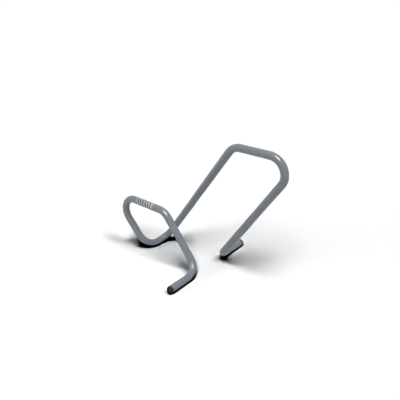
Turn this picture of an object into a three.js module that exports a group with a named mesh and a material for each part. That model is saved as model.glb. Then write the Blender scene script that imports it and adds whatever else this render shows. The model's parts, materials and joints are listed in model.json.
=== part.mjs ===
// A free-standing stand for one bicycle, bent from a single steel tube.
// The tube starts as a foot on the floor, rises as a low hoop that leans back, crosses the wheel slot
// as a short link on the floor, rises again as a high hoop that leans forward, and ends as a second foot.
// Both hoops lie in upright planes. A plastic insert closes each end, and a label lies on the low hoop.
// Millimetres, +Z up. +X runs across the slot from the low hoop to the high one, and +Y runs from the
// open side of the slot to the floor link that stops the wheel.

import * as THREE from 'three';

// The tube.
const tubeDiameter = 33.7;
const tubeWall = 2.6;
const bendRadius = 70; // of the tube's centreline, the same die for every bend

// Where the tube runs. A lean is how far a hoop's corner lies beyond the foot of its leg.
const linkStraight = 10; // straight stretch of the floor link, between its two bends
const lowFootStraight = 101; // straight stretch of the low hoop's foot, outside its bend
const highFootStraight = 95; // and of the high hoop's foot
const baseDepth = 330; // from the feet's line to the link's line
const lowHeight = 275; // top of the low hoop
const lowFrontLean = 190;
const lowBackLean = 215;
const highHeight = 595; // top of the high hoop
const highFrontLean = 390;
const highBackLean = 410;

// The plastic inserts in the tube's ends.
const capSeatGap = 0.3; // between the insert's head and the tube's end
const capRimLength = 3; // the part of the head that is as wide as the tube
const capDome = 14; // how far the head's dome swells beyond the rim
const capShankLength = 24;
const capShankClearance = 2.2; // between the shank and the bore
const capShankWall = 2;
const capRibClearance = 0.3; // between the ribs and the bore
const capRibCount = 4;
const capRibThickness = 1.2;
const capRibFirst = 3; // from the head to the first rib
const capLeadIn = 1; // bevel at the shank's free end

// The label on the outer upper quarter of the low hoop's top bar.
const labelLength = 110;
const labelThickness = 0.3;
const labelGap = 0.3; // between the label and the tube
const labelArc = THREE.MathUtils.degToRad(93); // how far it reaches round the tube
const labelTurn = THREE.MathUtils.degToRad(45); // its middle, above the level outward direction
const labelFromBend = 25; // of straight tube, between the low hoop's back bend and the label

// How finely the round shapes are cut.
const sides = 20; // flats round the tube, a multiple of four, so that one flat faces the floor
const bendStep = THREE.MathUtils.degToRad(10);
const domeSteps = 8;
const labelSteps = 12;

// What follows from the sizes.
const tubeRadius = tubeDiameter / 2;
const boreRadius = tubeRadius - tubeWall;
const hoopPlane = bendRadius + linkStraight / 2; // from the slot's middle to each hoop's plane
const lowFootEnd = hoopPlane + bendRadius + lowFootStraight; // from the slot's middle to the tube's end
const highFootEnd = hoopPlane + bendRadius + highFootStraight;
const floorLine = tubeRadius * Math.cos(Math.PI / sides); // centreline height of the tube on the floor
const lowLine = lowHeight - tubeRadius;
const highLine = highHeight - tubeRadius;

const coatedSteel = new THREE.MeshStandardMaterial({ color: 0x7b848c, roughness: 0.42, metalness: 0.1 });
const blackPlastic = new THREE.MeshStandardMaterial({ color: 0x2a2a2b, roughness: 0.55, metalness: 0 });
const greyFilm = new THREE.MeshStandardMaterial({ color: 0xc6cacd, roughness: 0.5, metalness: 0 });

// The corners that the centreline would have without its bends, from the low hoop's foot to the
// high hoop's.
const corners = [
  new THREE.Vector3(-lowFootEnd, 0, floorLine),
  new THREE.Vector3(-hoopPlane, 0, floorLine),
  new THREE.Vector3(-hoopPlane, lowFrontLean, lowLine),
  new THREE.Vector3(-hoopPlane, baseDepth + lowBackLean, lowLine),
  new THREE.Vector3(-hoopPlane, baseDepth, floorLine),
  new THREE.Vector3(hoopPlane, baseDepth, floorLine),
  new THREE.Vector3(hoopPlane, baseDepth - highBackLean, highLine),
  new THREE.Vector3(hoopPlane, -highFrontLean, highLine),
  new THREE.Vector3(hoopPlane, 0, floorLine),
  new THREE.Vector3(highFootEnd, 0, floorLine),
];
const topBars = [3, 7]; // the corners at which the hoops' top bars end

// How far a leg leans from the base line, seen along +X.
function slope(foot, top) {
  return Math.atan2(top.z - foot.z, top.y - foot.y);
}

// A hoop whose legs aren't parallel would leave the tube's flats a little turned when it is back on
// the floor. This is the twist along its top bar that lays a flat on the floor again.
function levellingTwist(end) {
  return slope(corners[end - 2], corners[end - 1]) - slope(corners[end + 1], corners[end]);
}

// The stations along one bend, where each has a point, the direction of travel and the twist so far.
function bendStations(corner, inward, outward, twist) {
  const turn = inward.angleTo(outward);
  const start = corner.clone().addScaledVector(inward, -bendRadius * Math.tan(turn / 2));
  const sideways = outward.clone().addScaledVector(inward, -Math.cos(turn)).normalize();
  const steps = Math.ceil(turn / bendStep);
  const stations = [];
  for (let i = 0; i <= steps; i += 1) {
    const swept = (turn * i) / steps;
    const along = bendRadius * Math.sin(swept);
    const across = bendRadius * (1 - Math.cos(swept));
    const point = start.clone().addScaledVector(inward, along).addScaledVector(sideways, across);
    const tangent = inward.clone().multiplyScalar(Math.cos(swept));
    tangent.addScaledVector(sideways, Math.sin(swept));
    stations.push({ point, tangent, twist });
  }
  return stations;
}

// The whole centreline. A straight stretch needs no station of its own between two bends.
function tubeStations() {
  const directions = corners.slice(1).map((corner, i) => corner.clone().sub(corners[i]).normalize());
  const last = corners.length - 1;
  let twist = 0;
  const stations = [{ point: corners[0], tangent: directions[0], twist }];
  for (let i = 1; i < last; i += 1) {
    if (topBars.includes(i)) twist += levellingTwist(i);
    stations.push(...bendStations(corners[i], directions[i - 1], directions[i], twist));
  }
  stations.push({ point: corners[last], tangent: directions[last - 1], twist });
  return stations;
}

// A curve that an extrusion follows from station to station, so that every bend starts and ends
// exactly where its arc does.
class StationCurve extends THREE.Curve {
  constructor(stations) {
    super();
    this.stations = stations;
  }

  stationAt(share) {
    return this.stations[Math.round(share * (this.stations.length - 1))];
  }

  getPoint(share, target = new THREE.Vector3()) {
    return target.copy(this.stationAt(share).point);
  }

  getPointAt(share, target) {
    return this.getPoint(share, target);
  }

  getTangentAt(share, target = new THREE.Vector3()) {
    return target.copy(this.stationAt(share).tangent);
  }

  getSpacedPoints() {
    return this.stations.map((station) => station.point.clone());
  }

  computeFrenetFrames(steps) {
    const frames = super.computeFrenetFrames(steps, false);
    this.stations.forEach((station, i) => {
      frames.normals[i].applyAxisAngle(station.tangent, station.twist);
      frames.binormals[i].applyAxisAngle(station.tangent, station.twist);
    });
    return frames;
  }
}

// The corners of a regular section with a flat across each axis.
function sectionPoints(radius) {
  return Array.from({ length: sides }, (unused, i) => {
    const angle = ((i + 0.5) / sides) * 2 * Math.PI;
    return new THREE.Vector2(radius * Math.cos(angle), radius * Math.sin(angle));
  });
}

function bentTube() {
  const section = new THREE.Shape(sectionPoints(tubeRadius));
  section.holes.push(new THREE.Path(sectionPoints(boreRadius)));
  const stations = tubeStations();
  const geometry = new THREE.ExtrudeGeometry(section, {
    steps: stations.length - 1,
    extrudePath: new StationCurve(stations),
    bevelEnabled: false,
  });
  const mesh = new THREE.Mesh(geometry, coatedSteel);
  mesh.name = 'bent_tube';
  return mesh;
}

// One insert as a profile turned about its axis: the radius first, then the distance from the tube's
// end, which is positive outside the tube.
function capProfile() {
  const rimEnd = capSeatGap + capRimLength;
  const shankRadius = boreRadius - capShankClearance;
  const ribRadius = boreRadius - capRibClearance;
  const shankEnd = capSeatGap - capShankLength;
  const ribPitch = (capShankLength - capRibFirst - capLeadIn) / capRibCount;
  const points = [];

  // The hollow of the shank, from its floor out to the free end.
  points.push([0, capSeatGap]);
  points.push([shankRadius - capShankWall, capSeatGap]);
  points.push([shankRadius - capShankWall, shankEnd]);
  points.push([shankRadius - capLeadIn, shankEnd]);
  points.push([shankRadius, shankEnd + capLeadIn]);

  // The ribs, from the free end back to the head.
  for (let rib = capRibCount - 1; rib >= 0; rib -= 1) {
    const near = capSeatGap - capRibFirst - rib * ribPitch;
    const far = near - capRibThickness;
    points.push([shankRadius, far], [ribRadius, far], [ribRadius, near], [shankRadius, near]);
  }

  // The head: its seat, the rim and the dome, which is half of an ellipse.
  points.push([shankRadius, capSeatGap]);
  points.push([tubeRadius, capSeatGap]);
  for (let i = 0; i < domeSteps; i += 1) {
    const angle = ((i / domeSteps) * Math.PI) / 2;
    points.push([tubeRadius * Math.cos(angle), rimEnd + capDome * Math.sin(angle)]);
  }
  points.push([0, rimEnd + capDome]);
  return points.map(([radius, height]) => new THREE.Vector2(radius, height));
}

// side is -1 at the low hoop's foot and 1 at the high hoop's.
function endCap(name, side, footEnd) {
  const geometry = new THREE.LatheGeometry(capProfile(), sides, Math.PI / sides);
  const mesh = new THREE.Mesh(geometry, blackPlastic);
  mesh.name = name;
  mesh.rotation.z = (-side * Math.PI) / 2;
  mesh.position.set(side * footEnd, 0, floorLine);
  return mesh;
}

// Where the straight stretch of the low hoop's top bar ends and its back bend starts.
function backBendStart() {
  const turn = Math.PI - slope(corners[4], corners[3]);
  return corners[3].y - bendRadius * Math.tan(turn / 2);
}

// The label as a bent strip: its section, drawn out along the low hoop's top bar.
function label() {
  const inner = tubeRadius + labelGap;
  const outer = inner + labelThickness;
  const from = labelTurn - labelArc / 2;
  const strip = new THREE.Shape();
  for (let i = 0; i <= labelSteps; i += 1) {
    const angle = from + (labelArc * i) / labelSteps;
    const [x, y] = [outer * Math.cos(angle), outer * Math.sin(angle)];
    if (i === 0) strip.moveTo(x, y);
    else strip.lineTo(x, y);
  }
  for (let i = labelSteps; i >= 0; i -= 1) {
    const angle = from + (labelArc * i) / labelSteps;
    strip.lineTo(inner * Math.cos(angle), inner * Math.sin(angle));
  }
  const geometry = new THREE.ExtrudeGeometry(strip, { depth: labelLength, bevelEnabled: false });
  const mesh = new THREE.Mesh(geometry, greyFilm);
  mesh.name = 'label';
  // The section's X lies outwards, towards -X of the stand, and the strip is drawn out towards +Y.
  mesh.rotation.set(Math.PI / 2, Math.PI, 0);
  mesh.position.set(-hoopPlane, backBendStart() - labelFromBend - labelLength, lowLine);
  return mesh;
}

const stand = new THREE.Group();
stand.add(bentTube());
stand.add(endCap('end_cap_low_hoop', -1, lowFootEnd));
stand.add(endCap('end_cap_high_hoop', 1, highFootEnd));
stand.add(label());

// The rack's origin is on the floor, in the middle of the overall length and width.
const middle = new THREE.Box3().setFromObject(stand, true).getCenter(new THREE.Vector3());
stand.position.set(-middle.x, -middle.y, 0);

const rack = new THREE.Group();
rack.add(stand);

export default rack;
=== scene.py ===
# %% [markdown]
# A stand for one bicycle, bent from a single steel tube. The tube lies on the floor as a foot, rises
# as a low hoop that leans back, crosses the wheel slot as a short link on the floor, rises again as a
# high hoop that leans forward, and ends as a second foot. Two black plastic inserts close its ends,
# and a light grey label is wrapped on the low hoop.
#
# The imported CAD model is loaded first, as a fixed frame. Its solids are faceted, so every piece is
# modelled again here with round sections, in the same place and at the same size.

# %% Load the frame
import json
import math

import bmesh
import bpy
from mathutils import Matrix, Vector


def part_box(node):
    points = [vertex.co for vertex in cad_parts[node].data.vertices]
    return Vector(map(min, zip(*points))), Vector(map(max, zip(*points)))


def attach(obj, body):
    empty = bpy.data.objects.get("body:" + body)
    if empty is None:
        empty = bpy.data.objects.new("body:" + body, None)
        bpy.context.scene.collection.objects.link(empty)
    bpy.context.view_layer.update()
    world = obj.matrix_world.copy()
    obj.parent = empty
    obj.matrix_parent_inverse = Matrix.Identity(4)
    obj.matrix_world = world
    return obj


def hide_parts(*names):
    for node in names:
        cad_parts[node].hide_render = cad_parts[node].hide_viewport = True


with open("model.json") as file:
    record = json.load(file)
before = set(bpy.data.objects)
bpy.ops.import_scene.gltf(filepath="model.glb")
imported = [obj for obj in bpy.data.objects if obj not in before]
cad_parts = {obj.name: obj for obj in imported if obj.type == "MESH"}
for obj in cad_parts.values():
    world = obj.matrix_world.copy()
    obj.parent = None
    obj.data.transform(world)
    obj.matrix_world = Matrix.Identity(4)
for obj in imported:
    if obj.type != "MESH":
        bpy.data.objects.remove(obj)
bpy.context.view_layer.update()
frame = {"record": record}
mount_at = {mount["name"]: Vector(mount["pos_m"]) for mount in frame["record"]["mounts"]}
feet_line = mount_at["floor_rest_low_foot"].y
link_line = mount_at["floor_rest_link"].y
slot_middle = mount_at["floor_rest_link"].x
low_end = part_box("bent_tube")[0][0]
high_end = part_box("bent_tube")[1][0]
print("feet at y %.4f, floor link at y %.4f" % (feet_line, link_line))
print("tube's ends at x %.4f and %.4f, slot's middle at %.4f" % (low_end, high_end, slot_middle))

# %% [markdown]
# The sizes are those that a workshop drawing of the stand would give, in metres. The frame says where
# the feet, the link and the tube's ends lie. A lean is how far a hoop's corner lies beyond the foot
# of its leg, along the slot.

# %% Sizes of the tube
mm = 0.001
tube_radius = 33.7 * mm / 2
tube_wall = 2.6 * mm
bend_radius = 70 * mm
hoop_offset = bend_radius + 10 * mm / 2
low_height = 275 * mm
high_height = 595 * mm
low_front_lean = 190 * mm
low_back_lean = 215 * mm
high_front_lean = 390 * mm
high_back_lean = 410 * mm

low_line = low_height - tube_radius
high_line = high_height - tube_radius
low_plane = slot_middle - hoop_offset
high_plane = slot_middle + hoop_offset
corners = [
    Vector((low_end, feet_line, tube_radius)),
    Vector((low_plane, feet_line, tube_radius)),
    Vector((low_plane, feet_line + low_front_lean, low_line)),
    Vector((low_plane, link_line + low_back_lean, low_line)),
    Vector((low_plane, link_line, tube_radius)),
    Vector((high_plane, link_line, tube_radius)),
    Vector((high_plane, link_line - high_back_lean, high_line)),
    Vector((high_plane, feet_line - high_front_lean, high_line)),
    Vector((high_plane, feet_line, tube_radius)),
    Vector((high_end, feet_line, tube_radius)),
]
print("the hoops stand in the planes x %.4f and %.4f" % (low_plane, high_plane))

# %% [markdown]
# A camera stands off the open side of the slot, to the left and twice as high as the high hoop, and
# looks down on the stand. Its place and its angles follow the photograph's view. Blender's camera
# looks along its own -Z, so it is first tipped up from straight down and then turned round the
# vertical.

# %% Camera
camera_place = Vector((-1.3412, -1.2116, 1.1879))
camera_turn = math.radians(-48.57)
camera_drop = math.radians(25.574)
camera_roll = math.radians(-1.556)
sensor_width_mm = 36
focal_length_mm = 41.19

camera_data = bpy.data.cameras.new("camera")
camera_data.sensor_width = sensor_width_mm
camera_data.lens = focal_length_mm
camera = bpy.data.objects.new("camera", camera_data)
bpy.context.collection.objects.link(camera)
tip = Matrix.Rotation(math.pi / 2 - camera_drop, 4, "X")
turned = Matrix.Rotation(camera_turn, 4, "Z") @ tip @ Matrix.Rotation(camera_roll, 4, "Z")
camera.matrix_world = Matrix.Translation(camera_place) @ turned
bpy.context.scene.camera = camera
print("the camera stands %.2f m from the frame's origin" % camera_place.length)

# %% [markdown]
# Small helpers turn a finished bmesh into an object. A piece's object stays at the origin, and its
# place is in its mesh, so that a pattern on Object coordinates stays put.

# %% Helpers for pieces
weld_distance = 0.001 * mm


def finished(name, bm, material, slot_name, *nodes):
    """Make the piece from the bmesh, in place of the CAD nodes."""
    bmesh.ops.remove_doubles(bm, verts=bm.verts, dist=weld_distance)
    mesh = bpy.data.meshes.new(name)
    bm.to_mesh(mesh)
    bm.free()
    mesh.shade_smooth()
    mesh.materials.append(material)
    piece = bpy.data.objects.new(name, mesh)
    bpy.context.collection.objects.link(piece)
    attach(piece, "root")
    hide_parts(*nodes)
    mesh.calc_loop_triangles()
    print(name, "has", len(mesh.loop_triangles), "triangles")
    return piece


def verts_of(geometry):
    return [item for item in geometry if isinstance(item, bmesh.types.BMVert)]


def edges_of(geometry):
    return [item for item in geometry if isinstance(item, bmesh.types.BMEdge)]


# %% [markdown]
# Every surface has a fine relief: the orange peel of a powder coat, the grain of a mould, the ripple
# of a film. It could be painted in three ways, but it is the same effect at three scales, so it is
# one shader node group with its own inputs. It reads Object coordinates, so it neither stretches at
# the bends nor slides. One output is the relief, the other a slow cloud that varies the finish.

# %% Node group for fine relief
def node_in(tree, kind, **settings):
    node = tree.nodes.new(kind)
    for key, value in settings.items():
        setattr(node, key, value)
    return node


relief = bpy.data.node_groups.new("fine relief", "ShaderNodeTree")
for socket_name, default in (("Relief Scale", 400.0), ("Cloud Scale", 12.0), ("Fineness", 0.5)):
    socket = relief.interface.new_socket(socket_name, in_out="INPUT", socket_type="NodeSocketFloat")
    socket.default_value = default
for socket_name in ("Relief", "Cloud"):
    relief.interface.new_socket(socket_name, in_out="OUTPUT", socket_type="NodeSocketFloat")
group_in = node_in(relief, "NodeGroupInput")
group_out = node_in(relief, "NodeGroupOutput")
place = node_in(relief, "ShaderNodeTexCoord")
peel = node_in(relief, "ShaderNodeTexNoise")
peel.inputs["Detail"].default_value = 2
cloud = node_in(relief, "ShaderNodeTexNoise")
cloud.inputs["Detail"].default_value = 4
cloud.inputs["Roughness"].default_value = 0.6
for texture in (peel, cloud):
    relief.links.new(place.outputs["Object"], texture.inputs["Vector"])
relief.links.new(group_in.outputs["Relief Scale"], peel.inputs["Scale"])
relief.links.new(group_in.outputs["Fineness"], peel.inputs["Roughness"])
relief.links.new(group_in.outputs["Cloud Scale"], cloud.inputs["Scale"])
relief.links.new(peel.outputs["Fac"], group_out.inputs["Relief"])
relief.links.new(cloud.outputs["Fac"], group_out.inputs["Cloud"])
print("node group", relief.name, "is ready")


# %% Helpers for materials
def new_material(name):
    material = bpy.data.materials.new(name)
    material.use_nodes = True
    tree = material.node_tree
    shader = tree.nodes["Principled BSDF"]
    return material, tree, shader


def relief_in(tree, shader, scale, cloud_scale, fineness, depth, strength):
    """Place the relief group, feed it to the shader's normal and return the group's node."""
    group = node_in(tree, "ShaderNodeGroup", node_tree=relief)
    group.inputs["Relief Scale"].default_value = scale
    group.inputs["Cloud Scale"].default_value = cloud_scale
    group.inputs["Fineness"].default_value = fineness
    bump = node_in(tree, "ShaderNodeBump")
    bump.inputs["Distance"].default_value = depth
    bump.inputs["Strength"].default_value = strength
    tree.links.new(group.outputs["Relief"], bump.inputs["Height"])
    tree.links.new(bump.outputs["Normal"], shader.inputs["Normal"])
    return group


def spread(tree, source, low, high, target):
    """Lay a value that varies about a half over the range from low to high."""
    node = node_in(tree, "ShaderNodeMapRange")
    node.inputs["From Min"].default_value = 0.3
    node.inputs["From Max"].default_value = 0.7
    node.inputs["To Min"].default_value = low
    node.inputs["To Max"].default_value = high
    tree.links.new(source, node.inputs["Value"])
    tree.links.new(node.outputs["Result"], target)


def blend_colours(tree, source, first, second, target=None):
    """Mix two colours, each three numbers or a socket, feed the target and return the mix."""
    node = node_in(tree, "ShaderNodeMix", data_type="RGBA")
    for socket, given in ((node.inputs["A"], first), (node.inputs["B"], second)):
        if isinstance(given, tuple):
            socket.default_value = (*given, 1)
        else:
            tree.links.new(given, socket)
    tree.links.new(source, node.inputs["Factor"])
    mixed = node.outputs["Result"]
    if target:
        tree.links.new(mixed, target)
    return mixed


# %% [markdown]
# The tube has a blue-grey powder coat. A powder coat is a plastic film baked on steel, so the shader
# is not metallic. Its pigment scatters the light evenly, so the base layer has hardly any gloss of its
# own, and a clear coat layer over it gives the small sharp strokes of light that show on the bends.
# The relief group gives its orange peel, and its cloud lets colour and gloss vary a little.

# %% Powder coat
coat_dark = (0.168, 0.193, 0.218)
coat_light = (0.191, 0.219, 0.247)
coat, tree, shader = new_material("powder coat")
shader.inputs["Specular IOR Level"].default_value = 0.1
shader.inputs["Coat Weight"].default_value = 0.35
shader.inputs["Coat Roughness"].default_value = 0.06
shader.inputs["Coat IOR"].default_value = 1.6
group = relief_in(tree, shader, scale=420, cloud_scale=9, fineness=0.45, depth=0.06 * mm, strength=0.25)
blend_colours(tree, group.outputs["Cloud"], coat_dark, coat_light, shader.inputs["Base Color"])
spread(tree, group.outputs["Cloud"], low=0.44, high=0.36, target=shader.inputs["Roughness"])

# %% [markdown]
# The tube is made as a tube bender makes it. A ring of vertices is the section. It is fed straight
# ahead by an extrude, and turned round the die by a spin, from corner to corner. A curve with a bevel
# would be quicker, but its corners aren't true arcs of the die's radius, and its section can't
# flatten a little in the bends, as a real tube does.

# %% Feed and bend
section_edges = 72
degrees_per_step = 3.75
flattening = 0.02


def feed(bm, ring, step):
    """Draw the ring straight ahead and return the new one."""
    made = bmesh.ops.extrude_edge_only(bm, edges=ring)["geom"]
    bmesh.ops.translate(bm, verts=verts_of(made), vec=step)
    return edges_of(made)


def flatten(verts, centre, axis, start, turn):
    """Press the section of a bend a little flat towards the bend's centreline."""
    for vert in verts:
        arm = vert.co - centre
        flat_arm = arm - axis * arm.dot(axis)
        swept = math.atan2(axis.dot(start.cross(flat_arm)), start.dot(flat_arm))
        press = flattening * math.sin(math.pi * min(max(swept / turn, 0), 1))
        beyond = flat_arm.length - bend_radius
        vert.co -= flat_arm.normalized() * beyond * press


def bend(bm, ring, place, heading, onward):
    """Spin the ring from its heading to the onward direction and return the new ring."""
    turn = heading.angle(onward)
    inside = (onward - heading * heading.dot(onward)).normalized()
    centre = place + inside * bend_radius
    axis = heading.cross(inside)
    steps = math.ceil(math.degrees(turn) / degrees_per_step)
    before = set(bm.verts)
    last = bmesh.ops.spin(
        bm, geom=ring, cent=centre, axis=axis, angle=turn, steps=steps, use_merge=False, dvec=(0, 0, 0)
    )["geom_last"]
    flatten([v for v in bm.verts if v not in before], centre, axis, -inside, turn)
    return edges_of(last)


# %% Build the tube
def headings(points):
    return [(after - before).normalized() for before, after in zip(points, points[1:])]


bm = bmesh.new()
upright = Matrix.Translation(corners[0]) @ Matrix.Rotation(math.pi / 2, 4, "Y")
bmesh.ops.create_circle(bm, segments=section_edges, radius=tube_radius, matrix=upright)
ring = list(bm.edges)
ways = headings(corners)
place = corners[0].copy()
developed = 0
for corner, heading, onward in zip(corners[1:-1], ways, ways[1:]):
    turn = heading.angle(onward)
    reach = bend_radius * math.tan(turn / 2)
    start = corner - heading * reach
    ring = feed(bm, ring, start - place)
    ring = bend(bm, ring, start, heading, onward)
    developed += (start - place).length + bend_radius * turn
    place = corner + onward * reach
feed(bm, ring, corners[-1] - place)
developed += (corners[-1] - place).length
print("the tube is %.3f m long before it is bent" % developed)

# %% [markdown]
# So far the tube is a skin. Solidify gives it the wall of the pipe, inwards, so that its ends are
# rings of steel with a bore, and the saw cut's sharp corners get a small round, as after deburring.
# Those corners are the edges in the planes of the two ends whose faces meet about square.

# %% Wall and ends
deburr = 0.4 * mm
deburr_segments = 2
end_tolerance = 0.01 * mm
square_limit = 0.5
round_profile = 0.5
bmesh.ops.recalc_face_normals(bm, faces=bm.faces)
bmesh.ops.solidify(bm, geom=bm.faces, thickness=tube_wall)
end_edges = [
    edge
    for edge in bm.edges
    if all(min(vert.co.x - low_end, high_end - vert.co.x) < end_tolerance for vert in edge.verts)
    and len(edge.link_faces) == 2
    and abs(edge.link_faces[0].normal.dot(edge.link_faces[1].normal)) < square_limit
]
bmesh.ops.bevel(
    bm,
    geom=end_edges,
    offset=deburr,
    affect="EDGES",
    segments=deburr_segments,
    profile=round_profile,
    material=-1,
)
print(len(end_edges), "edges of the two saw cuts are rounded")
finished("coated_tube", bm, coat, "coated_steel", "bent_tube")

# %% [markdown]
# The inserts are moulded in black plastic with the fine matt grain of a spark-eroded mould. Fresh
# moulded plastic has a soft sheen and no clear layer.

# %% Black plastic
plastic_dark = (0.005, 0.005, 0.005)
plastic_light = (0.009, 0.009, 0.009)
plastic, tree, shader = new_material("moulded plastic")
shader.inputs["Specular IOR Level"].default_value = 0.13
group = relief_in(tree, shader, scale=1600, cloud_scale=60, fineness=0.6, depth=0.05 * mm, strength=0.5)
blend_colours(tree, group.outputs["Cloud"], plastic_dark, plastic_light, shader.inputs["Base Color"])
spread(tree, group.outputs["Cloud"], low=0.48, high=0.58, target=shader.inputs["Roughness"])

# %% [markdown]
# Each insert has a domed head, as wide as the tube at its rim, and a hollow shank whose ribs grip the
# bore. It is round, so a profile spun once about the axis makes it whole: the hollow, the ribs and
# the head. A sphere for the dome would need a join, while the profile simply runs on along half of an
# ellipse. In the middle is the small gate mark where the plastic flowed into the mould.

# %% Profile of an insert
seat_gap = 0.3 * mm
rim_length = 3 * mm
dome = 14 * mm
shank_length = 24 * mm
shank_radius = tube_radius - tube_wall - 2.2 * mm
shank_wall = 2 * mm
rib_radius = tube_radius - tube_wall - 0.3 * mm
rib_count = 4
rib_thickness = 1.2 * mm
rib_first = 3 * mm
lead_in = 1 * mm
gate_radius = 1.6 * mm
gate_depth = 0.25 * mm
dome_steps = 20
turned_steps = 64


def shank_profile():
    """The hollow and the ribs, as pairs: the radius, and the distance outside the tube's end."""
    shank_end = seat_gap - shank_length
    pitch = (shank_length - rib_first - lead_in) / rib_count
    bore = shank_radius - shank_wall
    outline = [(0, seat_gap), (bore, seat_gap), (bore, shank_end)]
    outline += [(shank_radius - lead_in, shank_end), (shank_radius, shank_end + lead_in)]
    for rib in reversed(range(rib_count)):
        near = seat_gap - rib_first - rib * pitch
        far = near - rib_thickness
        outline += [(shank_radius, far), (rib_radius, far), (rib_radius, near), (shank_radius, near)]
    return outline + [(shank_radius, seat_gap)]


def head_profile():
    """The seat with its eased edge, the rim, the dome and the gate mark."""
    rim_end = seat_gap + rim_length
    gate_angle = math.acos(gate_radius / tube_radius)
    outline = [(tube_radius - deburr / 2, seat_gap), (tube_radius, seat_gap + deburr / 2)]
    for step in range(dome_steps + 1):
        angle = gate_angle * step / dome_steps
        outline.append((tube_radius * math.cos(angle), rim_end + dome * math.sin(angle)))
    gate_floor = rim_end + dome * math.sin(gate_angle) - gate_depth
    return outline + [(gate_radius - gate_depth, gate_floor), (0, gate_floor)]


# %% Build the inserts
def insert(name, end, outward, node):
    """end is the middle of the tube's end, and outward the way out of the tube."""
    bm = bmesh.new()
    up = Vector((0, 0, 1))
    outline = shank_profile() + head_profile()
    verts = [bm.verts.new(end + outward * out + up * radius) for radius, out in outline]
    edges = [bm.edges.new(pair) for pair in zip(verts, verts[1:])]
    bmesh.ops.spin(
        bm,
        geom=verts + edges,
        cent=end,
        axis=outward,
        angle=2 * math.pi,
        steps=turned_steps,
        use_merge=True,
        dvec=(0, 0, 0),
    )
    bmesh.ops.remove_doubles(bm, verts=bm.verts, dist=weld_distance)
    bmesh.ops.recalc_face_normals(bm, faces=bm.faces)
    return finished(name, bm, plastic, "black_plastic", node)


insert("low_foot_insert", corners[0], Vector((-1, 0, 0)), "end_cap_low_hoop")
insert("high_foot_insert", corners[-1], Vector((1, 0, 0)), "end_cap_high_hoop")

# %% [markdown]
# The label is a strip of light grey film, 110 mm long, that covers the outer upper quarter of the low
# hoop's top bar. Its print is a plain row of slanted bars. It is drawn flat, with round corners, and
# its UV map is taken while it is flat, so that the print lies straight on it. Then it is cut into
# narrow bands and wrapped round the tube.

# %% Label shape
label_length = 110 * mm
label_arc = math.radians(93)
label_turn = math.radians(45)
label_from_bend = 25 * mm
label_gap = 0.3 * mm
film = 0.3 * mm
corner_radius = 3 * mm
corner_segments = 6
bands = 28

inner_radius = tube_radius + label_gap
label_width = label_arc * inner_radius
back_slope = math.atan2(low_line - tube_radius, low_back_lean)
bend_start = corners[3].y - bend_radius * math.tan((math.pi - back_slope) / 2)
label_end = bend_start - label_from_bend
label_start = label_end - label_length
print("label from y %.4f to %.4f, %.1f mm wide" % (label_start, label_end, label_width / mm))


def flat_label():
    """A rounded strip in the XY plane, from 0 to its length along X and its width along Y."""
    bm = bmesh.new()
    spots = [(0, 0), (label_length, 0), (label_length, label_width), (0, label_width)]
    verts = [bm.verts.new((*spot, 0)) for spot in spots]
    bm.faces.new(verts)
    bmesh.ops.bevel(
        bm,
        geom=verts,
        offset=corner_radius,
        affect="VERTICES",
        segments=corner_segments,
        profile=round_profile,
        material=-1,
    )
    uv = bm.loops.layers.uv.new("print")
    for face in bm.faces:
        for loop in face.loops:
            loop[uv].uv = (loop.vert.co.x / label_length, loop.vert.co.y / label_width)
    for band in range(1, bands):
        cut = Vector((0, label_width * band / bands, 0))
        everything = [*bm.verts, *bm.edges, *bm.faces]
        bmesh.ops.bisect_plane(bm, geom=everything, plane_co=cut, plane_no=(0, 1, 0))
    return bm


def wrapped(bm):
    """Lay the strip round the top bar, with its length along -Y and its width up the outer side."""
    first = label_turn - label_arc / 2
    for vert in bm.verts:
        angle = first + vert.co.y / inner_radius
        across = low_plane - inner_radius * math.cos(angle)
        height = low_line + inner_radius * math.sin(angle)
        vert.co = Vector((across, label_end - vert.co.x, height))
    return bm


# %% [markdown]
# The film is a matt vinyl. The bars are printed in dark grey ink, inside a bare margin. Bars that
# lean are made by adding the height on the label to the length before it is cut into repeats.

# %% Label film
bar_count = 7
bar_share = 0.45
bar_lean = 0.5
margin_along = 0.07
margin_across = 0.09

vinyl, tree, shader = new_material("label film")
shader.inputs["Specular IOR Level"].default_value = 0.15
group = relief_in(tree, shader, scale=150, cloud_scale=25, fineness=0.4, depth=0.05 * mm, strength=0.3)
spread(tree, group.outputs["Cloud"], low=0.34, high=0.42, target=shader.inputs["Roughness"])


def value_of(tree, operation, first, second):
    """A Math node whose inputs are sockets or numbers."""
    node = node_in(tree, "ShaderNodeMath", operation=operation)
    for socket, given in zip(node.inputs, (first, second)):
        if isinstance(given, (int, float)):
            socket.default_value = given
        else:
            tree.links.new(given, socket)
    return node.outputs["Value"]


print_map = node_in(tree, "ShaderNodeUVMap", uv_map="print")
parts = node_in(tree, "ShaderNodeSeparateXYZ")
tree.links.new(print_map.outputs["UV"], parts.inputs["Vector"])
along, across = parts.outputs["X"], parts.outputs["Y"]
counted = value_of(tree, "MULTIPLY", along, bar_count)
leaning = value_of(tree, "ADD", counted, value_of(tree, "MULTIPLY", across, bar_lean))
repeat = value_of(tree, "FRACT", leaning, 0)
bars = value_of(tree, "LESS_THAN", repeat, bar_share)
from_middle_along = value_of(tree, "ABSOLUTE", value_of(tree, "SUBTRACT", along, 0.5), 0)
from_middle_across = value_of(tree, "ABSOLUTE", value_of(tree, "SUBTRACT", across, 0.5), 0)
inside_along = value_of(tree, "LESS_THAN", from_middle_along, 0.5 - margin_along)
inside_across = value_of(tree, "LESS_THAN", from_middle_across, 0.5 - margin_across)
inked = value_of(tree, "MULTIPLY", bars, value_of(tree, "MULTIPLY", inside_along, inside_across))
film_grey = (0.42, 0.432, 0.44)
ink_grey = (0.06, 0.065, 0.07)
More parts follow.
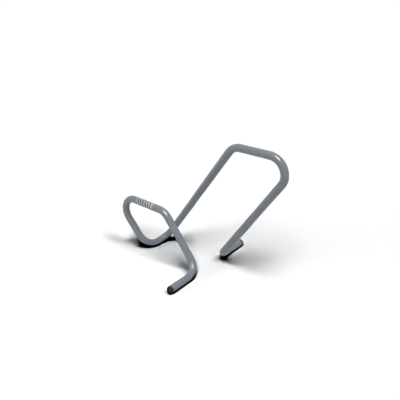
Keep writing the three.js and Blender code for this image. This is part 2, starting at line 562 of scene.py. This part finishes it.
blend_colours(tree, inked, film_grey, ink_grey, shader.inputs["Base Color"])

# %% Build the label
bm = wrapped(flat_label())
bmesh.ops.recalc_face_normals(bm, faces=bm.faces)
outwards = Vector((-math.cos(label_turn), 0, math.sin(label_turn)))
if sum(face.normal.dot(outwards) for face in bm.faces) < 0:
    bmesh.ops.reverse_faces(bm, faces=bm.faces)
bmesh.ops.solidify(bm, geom=bm.faces, thickness=-film)
# A thickness below zero leaves the normals of the closed film pointing inwards, so they are set again.
bmesh.ops.recalc_face_normals(bm, faces=bm.faces)
film_volume = bm.calc_volume(signed=True)
print("the label's film fills %.2f cubic centimetres" % (film_volume / (10 * mm) ** 3))
finished("striped_label", bm, vinyl, "label_film", "label")

# %% [markdown]
# The floor is a plain white studio floor with no edge in view. It meets three kinds of light ray in
# three ways, which the Light Path node tells apart. In a gloss it shows as white. The light that it
# throws back up under the tube is that of a slightly grey floor. To the camera it is white too, with
# deeper shadows: in the photograph they are more than twice as dark as soft light leaves them on a
# white floor. So the floor's brightness is stretched about white. A colour of 2.4 and a light of -1.4
# leave a lit spot at 1 and darken a shaded one.

# %% Floor
floor_half = 60
white_floor = (1.0, 1.0, 1.0)
grey_floor = (0.82, 0.82, 0.82)
shadow_depth = 2.4

floor_paint = bpy.data.materials.new("studio floor")
floor_paint.use_nodes = True
tree = floor_paint.node_tree
tree.nodes.remove(tree.nodes["Principled BSDF"])
matt = node_in(tree, "ShaderNodeBsdfDiffuse")
rays = node_in(tree, "ShaderNodeLightPath")
to_camera = rays.outputs["Is Camera Ray"]
in_gloss = value_of(tree, "MAXIMUM", rays.outputs["Is Glossy Ray"], rays.outputs["Is Transmission Ray"])
unseen = blend_colours(tree, in_gloss, grey_floor, white_floor)
blend_colours(tree, to_camera, unseen, (shadow_depth,) * 3, matt.inputs["Color"])
level = node_in(tree, "ShaderNodeEmission")
tree.links.new(value_of(tree, "MULTIPLY", to_camera, 1 - shadow_depth), level.inputs["Strength"])
stretched = node_in(tree, "ShaderNodeAddShader")
tree.links.new(matt.outputs["BSDF"], stretched.inputs[0])
tree.links.new(level.outputs["Emission"], stretched.inputs[1])
tree.links.new(stretched.outputs["Shader"], tree.nodes["Material Output"].inputs["Surface"])
floor_paint.cycles.emission_sampling = "NONE"

bm = bmesh.new()
bmesh.ops.create_grid(bm, x_segments=1, y_segments=1, size=floor_half)
floor_mesh = bpy.data.meshes.new("floor")
bm.to_mesh(floor_mesh)
bm.free()
floor_mesh.materials.append(floor_paint)
floor = bpy.data.objects.new("floor", floor_mesh)
bpy.context.collection.objects.link(floor)

# %% [markdown]
# Two broad soft lights stand high, one over the camera and a little to its left, and one nearly
# overhead. A small one stands to the camera's right, on the open side of the slot, and one shines low
# from the left, past the link. They are sun lamps with a wide angle, because a sun lights a floor
# evenly to its far end. A direction points from the stand to the light, and the strengths add up to
# about the level at which a white floor renders white. A gloss mirrors every lamp in view, and the
# bends show one only, as a short crisp stroke. So these four are kept out of glossy rays, and the
# light in the gloss has a lamp of its own, which stands between the broad ones and gives no light to
# matt surfaces.

# %% Lights
def soft_sun(name, direction, width_degrees, strength):
    lamp = bpy.data.lights.new(name, "SUN")
    lamp.angle = math.radians(width_degrees)
    lamp.energy = strength
    holder = bpy.data.objects.new(name, lamp)
    bpy.context.collection.objects.link(holder)
    holder.rotation_euler = Vector(direction).to_track_quat("Z", "Y").to_euler()
    return holder


soft_sun("left light", (-0.458, -0.194, 0.867), 25, 1.16).visible_glossy = False
soft_sun("overhead light", (-0.155, -0.14, 0.978), 19, 1.12).visible_glossy = False
soft_sun("front light", (0.089, -0.551, 0.83), 16, 0.83).visible_glossy = False
soft_sun("back light", (-0.759, 0.563, 0.327), 25, 0.66).visible_glossy = False
soft_sun("light in the gloss", (-0.265, -0.235, 0.935), 28, 8.5).visible_diffuse = False
print(len(bpy.data.lights), "lamps are lit")

# %% [markdown]
# The world is the white wall behind everything, to the camera and in every gloss. As a light it is
# dim, so that the lamps make the shadows.

# %% World
world = bpy.data.worlds.new("studio")
world.use_nodes = True
bpy.context.scene.world = world
tree = world.node_tree
sky = tree.nodes["Background"]
sky.inputs["Color"].default_value = (1, 1, 1, 1)
rays = node_in(tree, "ShaderNodeLightPath")
seen = value_of(tree, "MAXIMUM", rays.outputs["Is Camera Ray"], rays.outputs["Is Glossy Ray"])
seen = value_of(tree, "MAXIMUM", seen, rays.outputs["Is Transmission Ray"])
dim_world = 0.05
level = node_in(tree, "ShaderNodeMapRange")
level.inputs["To Min"].default_value = dim_world
level.inputs["To Max"].default_value = 1
tree.links.new(seen, level.inputs["Value"])
tree.links.new(level.outputs["Result"], sky.inputs["Strength"])
bpy.context.scene.view_settings.view_transform = "Standard"
